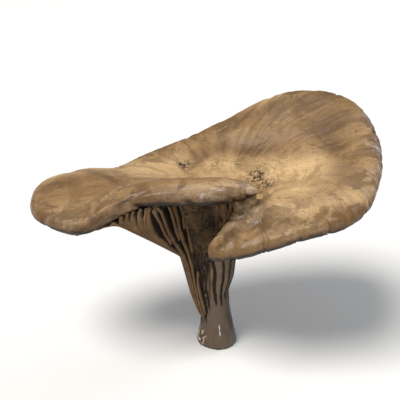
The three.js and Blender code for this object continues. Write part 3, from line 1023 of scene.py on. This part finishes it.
def blend(tree, share, first, second, mode="MIX"):
    """Two colours mixed by a share."""
    inputs = {0: share, 6: first, 7: second}
    node = add(tree, "ShaderNodeMix", data_type="RGBA", blend_type=mode, clamp_factor=True, inputs=inputs)
    return node.outputs[2]


def overlay(tree, base, layers):
    """Colours laid over a base one after another, each by its share."""
    for share, shade in layers:
        base = blend(tree, share, base, shade)
    return base


def cloud(tree, place, scale, detail=4.0, roughness=0.55, stretch=None, distortion=0.0):
    """Noise on a place, with features of 1/scale, stretched along its axes if wanted."""
    if stretch:
        place = add(tree, "ShaderNodeMapping", inputs={"Vector": place, "Scale": stretch}).outputs[0]
    inputs = {"Vector": place, "Scale": scale, "Detail": detail, "Roughness": roughness}
    node = add(tree, "ShaderNodeTexNoise", inputs=inputs | {"Distortion": distortion})
    return node.outputs["Fac"]


def new_group(name, inputs, outputs):
    """An empty shader node group with its named inputs and outputs, each a name, a kind and a default."""
    group = bpy.data.node_groups.new(name, "ShaderNodeTree")
    for title, kind, default in inputs:
        socket = group.interface.new_socket(title, in_out="INPUT", socket_type=kind)
        socket.default_value = default
    for title, kind in outputs:
        group.interface.new_socket(title, in_out="OUTPUT", socket_type=kind)
    return group, group.nodes.new("NodeGroupInput"), group.nodes.new("NodeGroupOutput")


def mottle_group():
    """Blotches, grain and fine veins of moist flesh, as three masks and a height."""
    group, given, result = new_group(
        "Flesh mottle",
        [
            ("Place", "NodeSocketVector", (0, 0, 0)),
            ("Blotch scale", "NodeSocketFloat", 120.0),
            ("Grain scale", "NodeSocketFloat", 900.0),
        ],
        [
            ("Blotches", "NodeSocketFloat"),
            ("Grain", "NodeSocketFloat"),
            ("Veins", "NodeSocketFloat"),
            ("Height", "NodeSocketFloat"),
        ],
    )
    place, blotch_scale, grain_scale = (given.outputs[i] for i in range(3))
    blotches = cloud(group, place, blotch_scale, 5, 0.62, distortion=0.6)
    grain = cloud(group, place, grain_scale, 3, 0.6)
    folded = cloud(group, place, blotch_scale, 3, 0.5, distortion=1.4)
    ridge = maths(group, "ABSOLUTE", maths(group, "SUBTRACT", folded, 0.5))
    veins = span(group, ridge, 0.0, 0.022, 1.0, 0.0)
    height = maths(group, "MULTIPLY_ADD", grain, 0.35, product(group, blotches, 0.5))
    masks = (span(group, blotches, 0.38, 0.64), grain, veins, height)
    set_inputs(group, result, dict(enumerate(masks)))
    return group


def shared_mottle():
    """The mottle group, made once."""
    return bpy.data.node_groups.get("Flesh mottle") or mottle_group()


def mottle(tree, group, place, blotch, grain):
    """Places the mottle group with its own scales and gives its blotches, grain, veins and height."""
    inputs = {0: place, 1: blotch, 2: grain}
    return tuple(add(tree, "ShaderNodeGroup", node_tree=group, inputs=inputs).outputs)


# ---- Materials ----

# Colours that stay as they are, besides those in the settings.
CREASE_BROWN = (0.06, 0.032, 0.015, 1)
# Painted highlight: the bluish-white of the glints painted on the wet rim.
PAINTED_GLINT_WHITE = (0.60, 0.62, 0.68, 1)
GILL_BLOTCH = (0.07, 0.037, 0.017, 1)
GILL_GRAIN = (0.25, 0.155, 0.082, 1)
STEM_STREAK = (0.06, 0.038, 0.022, 1)
# Painted shade of the cap over the bare strip.
STRIP_SHADE = (0.010, 0.005, 0.003, 1)
STRIP_VEIN = (0.14, 0.084, 0.032, 1)
STRIP_STREAK = (0.008, 0.004, 0.003, 1)
RIDGE_TAN = (0.125, 0.076, 0.038, 1)
RIDGE_BLOTCH = (0.06, 0.034, 0.016, 1)
# Painted shade between the gills' roots on the stem.
GAP_SHADE = (0.010, 0.006, 0.004, 1)
# Painted shade in the grooves between the gills' roots.
GROOVE_SHADE = (0.006, 0.004, 0.003, 1)
KNOB_BROWN = (0.03, 0.016, 0.008, 1)
KNOB_CHIP = (0.45, 0.34, 0.24, 1)
FOOT_BROWN = (0.02, 0.012, 0.007, 1)
# Painted shade down the stem's right flank.
FLANK_SHADE = (0.016, 0.009, 0.005, 1)
FLOOR_SHADE = (0.8, 0.8, 0.8, 1)


def cap_masks(tree, group):
    """All that the cap's looks are worked out from: its attributes, mottle, streaks and patches."""
    masks = {name: attribute(tree, name) for name in ("inward", "under", "crease", "scratch", *CAP_TONES)}
    place, fan = object_place(tree), attribute(tree, "fan", "Vector")
    names = ("blotches", "grain", "veins", "height")
    masks.update(zip(names, mottle(tree, group, place, blotch=95, grain=1400)))
    cap = SimpleNamespace(place=place, fan=fan, **masks)
    cap.outward = span(tree, axis(tree, fan, 1), 20 * MM, 44 * MM)
    cap.streaks = cloud(tree, fan, 620, 4, 0.6, stretch=(1, 0.09, 0), distortion=0.2)
    cap.broad_streaks = cloud(tree, fan, 170, 4, 0.6, stretch=(1, 0.16, 0), distortion=0.4)
    cap.rim_noise = cloud(tree, fan, 230, 4, 0.65)
    cap.patches = cloud(tree, place, 60, 5, 0.6, distortion=0.8)
    cap.speck_noise = cloud(tree, place, 480, 4, 0.7)
    cap.speck_patch = product(tree, cap.specks, span(tree, cap.speck_noise, 0.42, 0.53, 0.0, 1.5), clamp=True)
    return cap


def banded_skin(tree, cap, settings):
    """Pale in the hollow and tan elsewhere, with brown bands, a greyish-mauve tone near the rim that is
    partly painted sheen, streaks, patches, blotches and veins.
    """
    brown = colour(settings.brown)
    band = product(tree, span(tree, cap.broad_streaks, 0.28, 0.62, 0.5, 1.15), 0.95)
    # Painted sheen: the greyish-mauve laid over the sheen spots near the rim, partly the margin's own tone.
    bloom = product(tree, cap.bloom, span(tree, cap.broad_streaks, 0.35, 0.62), clamp=True)
    return overlay(tree, colour(settings.tan), [
        (stray(tree, cap.paleness, cap.patches, 1.5, clamp=True), colour(settings.pale)),
        (product(tree, cap.darkness, band, clamp=True), brown),
        (bloom, colour(settings.mauve)),
        (product(tree, span(tree, cap.streaks, 0.50, 0.68), product(tree, cap.outward, 0.36)), brown),
        (product(tree, span(tree, cap.broad_streaks, 0.48, 0.7), product(tree, cap.outward, 0.55)), brown),
        (span(tree, cap.patches, 0.5, 0.68, 0.0, 0.28), brown),
        (product(tree, span(tree, cap.blotches, 0.35, 1.0), 0.36), brown),
        (product(tree, product(tree, cap.veins, span(tree, cap.grain, 0.42, 0.6)), 0.5), brown),
    ])


def marked_skin(tree, cap, settings, base):
    """The skin with its black specks, crackled, and its fine dark creases."""
    crackle = add(
        tree, "ShaderNodeTexVoronoi", feature="DISTANCE_TO_EDGE",
        inputs={"Vector": cap.place, "Scale": 620.0, "Randomness": 1.0},
    ).outputs["Distance"]
    specks = product(tree, cap.speck_patch, span(tree, crackle, 0.03, 0.2, 1.0, 0.45), clamp=True)
    creases = product(tree, cap.crease, span(tree, cap.speck_noise, 0.44, 0.6, 0.05, 0.6))
    return overlay(tree, base, [(specks, colour(settings.edge)), (creases, CREASE_BROWN)])


def rimmed_skin(tree, cap, settings, base):
    """The skin with its ragged brown rim, painted wet glints, pale cracks and painted highlights on fine
    folds, and painted shade: brown and a dark line on the skin that faces down under the edge.
    """
    brown = colour(settings.brown)
    ragged = maths(tree, "MULTIPLY_ADD", cap.rim_noise, -8.0, maths(tree, "ADD", cap.inward, 4.0))
    blotched = product(tree, span(tree, cap.blotches, 0.45, 0.8), span(tree, cap.inward, 15.0, 3.0))
    # Painted highlights: bluish-white glints painted near the rim, on the spots of painted sheen.
    glint = product(tree, cap.bloom, span(tree, cloud(tree, cap.fan, 420, 3, 0.6, (1, 0.3, 0)), 0.54, 0.66))
    glint = product(tree, glint, span(tree, cap.inward, 9.0, 2.0), clamp=True)
    # Pale lines: painted highlights on fine folds of the left lobe, and pale cracks along the far rim.
    cracks_and_glints = product(tree, cap.scratch, span(tree, cap.speck_noise, 0.42, 0.58, 0.0, 0.32))
    # How far the skin faces down, wavered by noise, for the painted shade under the rim.
    turned = stray(tree, cap.under, cap.rim_noise, 0.7)
    return overlay(tree, base, [
        (product(tree, span(tree, ragged, 0.0, 5.5, 1.0, 0.0), 0.7), brown),
        (product(tree, blotched, 0.45), brown),
        # Painted highlight: the glints.
        (product(tree, glint, 0.55), PAINTED_GLINT_WHITE),
        (cracks_and_glints, colour(settings.crack_glint_colour)),
        # Painted shade: brown, then the dark edge colour, on the skin as it turns to face down under the rim.
        (span(tree, turned, -0.25, 0.35, 0.0, 0.85), brown),
        (span(tree, turned, 0.15, 0.5, 0.0, 0.97), colour(settings.edge)),
    ])


def cap_material(settings, group):
    """Moist mottled skin: pale in the hollow, brown in bands, streaked outwards, with a wet edge painted dark
    as shade where it faces down, and painted glints and sheen near the rim.
    """
    material, tree, shader = new_material("Cap skin")
    cap = cap_masks(tree, group)
    base = banded_skin(tree, cap, settings)
    base = marked_skin(tree, cap, settings, base)
    base = rimmed_skin(tree, cap, settings, base)
    grain = span(tree, cap.grain, 0.3, 0.7, 0.84, 1.14)
    shade = add(tree, "ShaderNodeCombineColor", inputs={0: grain, 1: grain, 2: grain}).outputs[0]
    wet = span(tree, cap.inward, 1.0, 11.0, 1.0, 0.0)
    dry = maths(tree, "MULTIPLY_ADD", cap.patches, 0.12, span(tree, cap.streaks, 0.3, 0.7, 0.36, 0.52))
    relief = maths(tree, "MULTIPLY_ADD", product(tree, cap.streaks, cap.outward), 0.6, cap.height)
    relief = maths(tree, "MULTIPLY_ADD", cap.speck_patch, -0.5, relief)
    set_inputs(tree, shader, {
        "Base Color": blend(tree, 1.0, base, shade, "MULTIPLY"),
        "Roughness": maths(tree, "MULTIPLY_ADD", wet, -0.14, dry, clamp=True),
        "Normal": bump(tree, 0.6, 0.5 * MM, relief),
        "Specular IOR Level": 0.22,
        "Coat Weight": 0.06,
        "Coat Roughness": 0.25,
        "Subsurface Weight": 0.04,
        "Subsurface Radius": (0.003, 0.0015, 0.0008),
    })
    return material


def gill_material(settings, group):
    """Tan-brown gill edges over near-black depths, painted as the shade deep between the gills."""
    material, tree, shader = new_material("Gill flesh")
    blotches, grain, _, height = mottle(tree, group, object_place(tree), blotch=150, grain=1500)
    crest = overlay(tree, colour(settings.crest), [
        (product(tree, blotches, 0.6), GILL_BLOTCH),
        (product(tree, grain, 0.3), GILL_GRAIN),
    ])
    # Painted shade: the gills darken from their free edges to their roots.
    dark = span(tree, stray(tree, attribute(tree, "depth"), blotches, 0.4), 0.3, 1.6)
    set_inputs(tree, shader, {
        "Base Color": blend(tree, dark, crest, colour(settings.root)),
        "Roughness": span(tree, blotches, 0, 1, 0.5, 0.7),
        "Normal": bump(tree, 0.4, 0.3 * MM, height),
        "Specular IOR Level": 0.12,
    })
    return material


def knobbed_stem(tree, place, base):
    """The stem with its brown knob and the knob's pale chips."""
    inputs = {0: place, 1: tuple(KNOB)}
    away = add(tree, "ShaderNodeVectorMath", operation="DISTANCE", inputs=inputs).outputs["Value"]
    knob = span(tree, away, 2.8 * MM, 5.2 * MM, 1.0, 0.0)
    chips = product(tree, knob, span(tree, cloud(tree, place, 520, 3, 0.6), 0.52, 0.58), clamp=True)
    return overlay(tree, base, [(product(tree, knob, 0.6), KNOB_BROWN), (chips, KNOB_CHIP)])


def stem_material(settings, group):
    """Smooth wet stem, pitted and pale at its knob, with painted shade: blotched and darker on the bare strip
    under the cap, near-black in its grooves and between the gills' roots, and darker down its right flank.
    """
    material, tree, shader = new_material("Stem flesh")
    place, around = object_place(tree), attribute(tree, "around", "Vector")
    groove, bare, gap = (attribute(tree, name) for name in ("groove", "bare", "gap"))
    blotches, _, veins, height = mottle(tree, group, place, blotch=170, grain=1500)
    streaks = cloud(tree, around, 480, 4, 0.6, stretch=(1, 0.1, 0))
    patches = cloud(tree, place, 110, 4, 0.65, distortion=0.7)
    up, turned = axis(tree, place, 2), axis(tree, around, 0)
    high = span(tree, up, 14 * MM, 34 * MM)
    in_strip = product(tree, bare, high)
    # Painted shade: the bare strip under the cap is laid nearly black, under its blotches, veins and streaks.
    strip = overlay(tree, STRIP_SHADE, [
        (span(tree, patches, 0.36, 0.66), colour(settings.bare)),
        (product(tree, veins, 0.6), STRIP_VEIN),
        (span(tree, streaks, 0.5, 0.62, 0, 0.7), STRIP_STREAK),
    ])
    base = overlay(tree, colour(settings.flesh), [
        (product(tree, span(tree, streaks, 0.45, 0.7), 0.5), STEM_STREAK),
        (high, blend(tree, product(tree, blotches, 0.6), RIDGE_TAN, RIDGE_BLOTCH)),
        (in_strip, strip),
        # Painted shade: near-black between the gills' roots.
        (product(tree, gap, 0.93), GAP_SHADE),
        # Painted shade: near-black in the grooves between the gills.
        (span(tree, groove, 0.12, 0.42, 0.0, 0.95), GROOVE_SHADE),
    ])
    foot = span(tree, up, 0.2 * MM, 1.6 * MM, 1.0, 0.0)
    # Painted shade down the stem's right flank.
    flank = product(tree, span(tree, turned, -9.5 * MM, -4 * MM), span(tree, turned, 16 * MM, 8 * MM))
    base = overlay(tree, knobbed_stem(tree, place, base), [
        (product(tree, foot, 0.6), FOOT_BROWN),
        (product(tree, flank, 0.85), FLANK_SHADE),
    ])
    smooth = span(tree, streaks, 0.3, 0.7, 0.20, 0.34)
    covered = maths(tree, "MAXIMUM", maths(tree, "MAXIMUM", gap, in_strip), span(tree, groove, 0.1, 0.3))
    set_inputs(tree, shader, {
        "Base Color": base,
        "Roughness": maths(tree, "MULTIPLY_ADD", high, 0.3, smooth),
        "Normal": bump(tree, 0.35, 0.3 * MM, height),
        "Coat Weight": span(tree, covered, 0.0, 1.0, 0.5, 0.0),
        "Coat Roughness": 0.14,
        "Specular IOR Level": 0.12,
    })
    return material


def floor_material(settings):
    """Plain pale floor with the faintest unevenness."""
    material, tree, shader = new_material("Pale floor")
    shade = product(tree, cloud(tree, object_place(tree), 6, 2, 0.5), 0.05)
    base = blend(tree, shade, colour(settings.floor), FLOOR_SHADE)
    set_inputs(tree, shader, {"Base Color": base, "Roughness": 0.8})
    return material


# ---- The stage ----

# The middle of the fungus, which the camera and the lamps look at, and half the side of the floor.
MIDDLE = Vector((-7.9, -5, 68)) * MM
FLOOR_REACH = 3

# Each lamp's kind, name, place from the middle, width, energy and tint. A sun's width is the angle over which
# it is spread, and an area lamp's is its side.
SOFT = math.radians(30)
LAMPS = [
    ("SUN", "key", (-0.35, -0.30, 0.80), SOFT, 3.1, (1, 0.97, 0.92)),
    ("SUN", "sky", (0.60, 0.35, 0.45), SOFT, 0.6, (0.86, 0.93, 1)),
    ("AREA", "glint", (0.14, -0.58, -0.045), 0.1, 1.3, (0.85, 0.93, 1)),
]
SURROUNDINGS = 0.32


def add_floor(settings):
    """A wide flat floor under the cut."""
    mesh = bmesh.new()
    bmesh.ops.create_grid(mesh, x_segments=1, y_segments=1, size=FLOOR_REACH)
    floor = object_from(mesh, "floor")
    floor.data.materials.append(floor_material(settings))


def add_lamp(kind, name, offset, width, energy, shade):
    """One lamp turned to the middle."""
    data = bpy.data.lights.new(name, kind)
    if kind == "SUN":
        data.angle = width
    else:
        data.size = width
    data.energy = energy
    data.color = shade
    lamp = bpy.data.objects.new(name, data)
    lamp.location = MIDDLE + Vector(offset)
    lamp.rotation_euler = (MIDDLE - lamp.location).to_track_quat("-Z", "Y").to_euler()
    bpy.context.scene.collection.objects.link(lamp)


def add_surroundings(scene):
    """Even white light from all round, and colours shown as they are."""
    world = bpy.data.worlds.new("Studio")
    world.use_nodes = True
    background = world.node_tree.nodes["Background"]
    background.inputs["Color"].default_value = (1, 1, 1, 1)
    background.inputs["Strength"].default_value = SURROUNDINGS
    scene.world = world
    scene.view_settings.view_transform = "Standard"


def add_camera(scene, settings):
    """The camera, in front of the fungus and a little above it, looking at its middle."""
    data = bpy.data.cameras.new("camera")
    data.lens = settings.lens
    camera = bpy.data.objects.new("camera", data)
    back = Vector((0, -math.cos(settings.elevation), math.sin(settings.elevation)))
    camera.location = MIDDLE + back * settings.distance
    camera.rotation_euler = (math.pi / 2 - settings.elevation, 0, 0)
    scene.collection.objects.link(camera)
    scene.camera = camera


# ---- Operators ----

# Faces of a gill that meet at more than this stay sharp to the eye.
GILL_CREASE = math.radians(40)


class FUNGUS_OT_cap(bpy.types.Operator):
    """Build the wrinkled cap in the place of its solid"""

    bl_idname = "fungus.build_cap"
    bl_label = "Cap"

    def execute(self, context):
        settings = context.scene.fungus_cap
        cap = build_cap(settings)
        finish_piece(cap, "cap", cap_material(settings, shared_mottle()))
        return {"FINISHED"}


class FUNGUS_OT_gills(bpy.types.Operator):
    """Build the gills one by one in the place of the gill layer"""

    bl_idname = "fungus.build_gills"
    bl_label = "Gills"

    def execute(self, context):
        settings = context.scene.fungus_gills
        gills = build_gills(settings)
        finish_piece(gills, "gills", gill_material(settings, shared_mottle()))
        gills.data.set_sharp_from_angle(angle=GILL_CREASE)
        return {"FINISHED"}


class FUNGUS_OT_stem(bpy.types.Operator):
    """Build the moist stem in the place of its solid"""

    bl_idname = "fungus.build_stem"
    bl_label = "Stem"

    def execute(self, context):
        settings = context.scene.fungus_stem
        stem = build_stem(settings)
        finish_piece(stem, "stem", stem_material(settings, shared_mottle()))
        return {"FINISHED"}


class FUNGUS_OT_stage(bpy.types.Operator):
    """Lay the floor and set the lights, the surroundings and the camera"""

    bl_idname = "fungus.build_stage"
    bl_label = "Stage"

    def execute(self, context):
        settings = context.scene.fungus_stage
        add_floor(settings)
        for lamp in LAMPS:
            add_lamp(*lamp)
        add_surroundings(context.scene)
        add_camera(context.scene, settings)
        return {"FINISHED"}


class FUNGUS_PT_parts(bpy.types.Panel):
    """The fungus's parts and their settings"""

    bl_idname = "FUNGUS_PT_parts"
    bl_label = "Bracket Fungus"
    bl_space_type = "VIEW_3D"
    bl_region_type = "UI"
    bl_category = "Fungus"

    def draw(self, context):
        for operator, group in PARTS:
            settings = getattr(context.scene, group)
            box = self.layout.box()
            box.operator(operator.bl_idname)
            for name in settings.__annotations__:
                box.prop(settings, name)


PARTS = [
    (FUNGUS_OT_cap, "fungus_cap"),
    (FUNGUS_OT_gills, "fungus_gills"),
    (FUNGUS_OT_stem, "fungus_stem"),
    (FUNGUS_OT_stage, "fungus_stage"),
]
SETTINGS = {
    "fungus_cap": CapSettings,
    "fungus_gills": GillSettings,
    "fungus_stem": StemSettings,
    "fungus_stage": StageSettings,
}


def register():
    """Registers the settings, the operators and the panel."""
    for name, group in SETTINGS.items():
        bpy.utils.register_class(group)
        setattr(bpy.types.Scene, name, bpy.props.PointerProperty(type=group))
    for operator, _ in PARTS:
        bpy.utils.register_class(operator)
    bpy.utils.register_class(FUNGUS_PT_parts)


def unregister():
    """Takes them all away again."""
    bpy.utils.unregister_class(FUNGUS_PT_parts)
    for operator, _ in reversed(PARTS):
        bpy.utils.unregister_class(operator)
    for name, group in reversed(SETTINGS.items()):
        delattr(bpy.types.Scene, name)
        bpy.utils.unregister_class(group)


def main():
    """Builds every part in turn."""
    register()
    bpy.ops.fungus.build_stage()
    bpy.ops.fungus.build_cap()
    bpy.ops.fungus.build_gills()
    bpy.ops.fungus.build_stem()


if __name__ == "__main__":
    main()
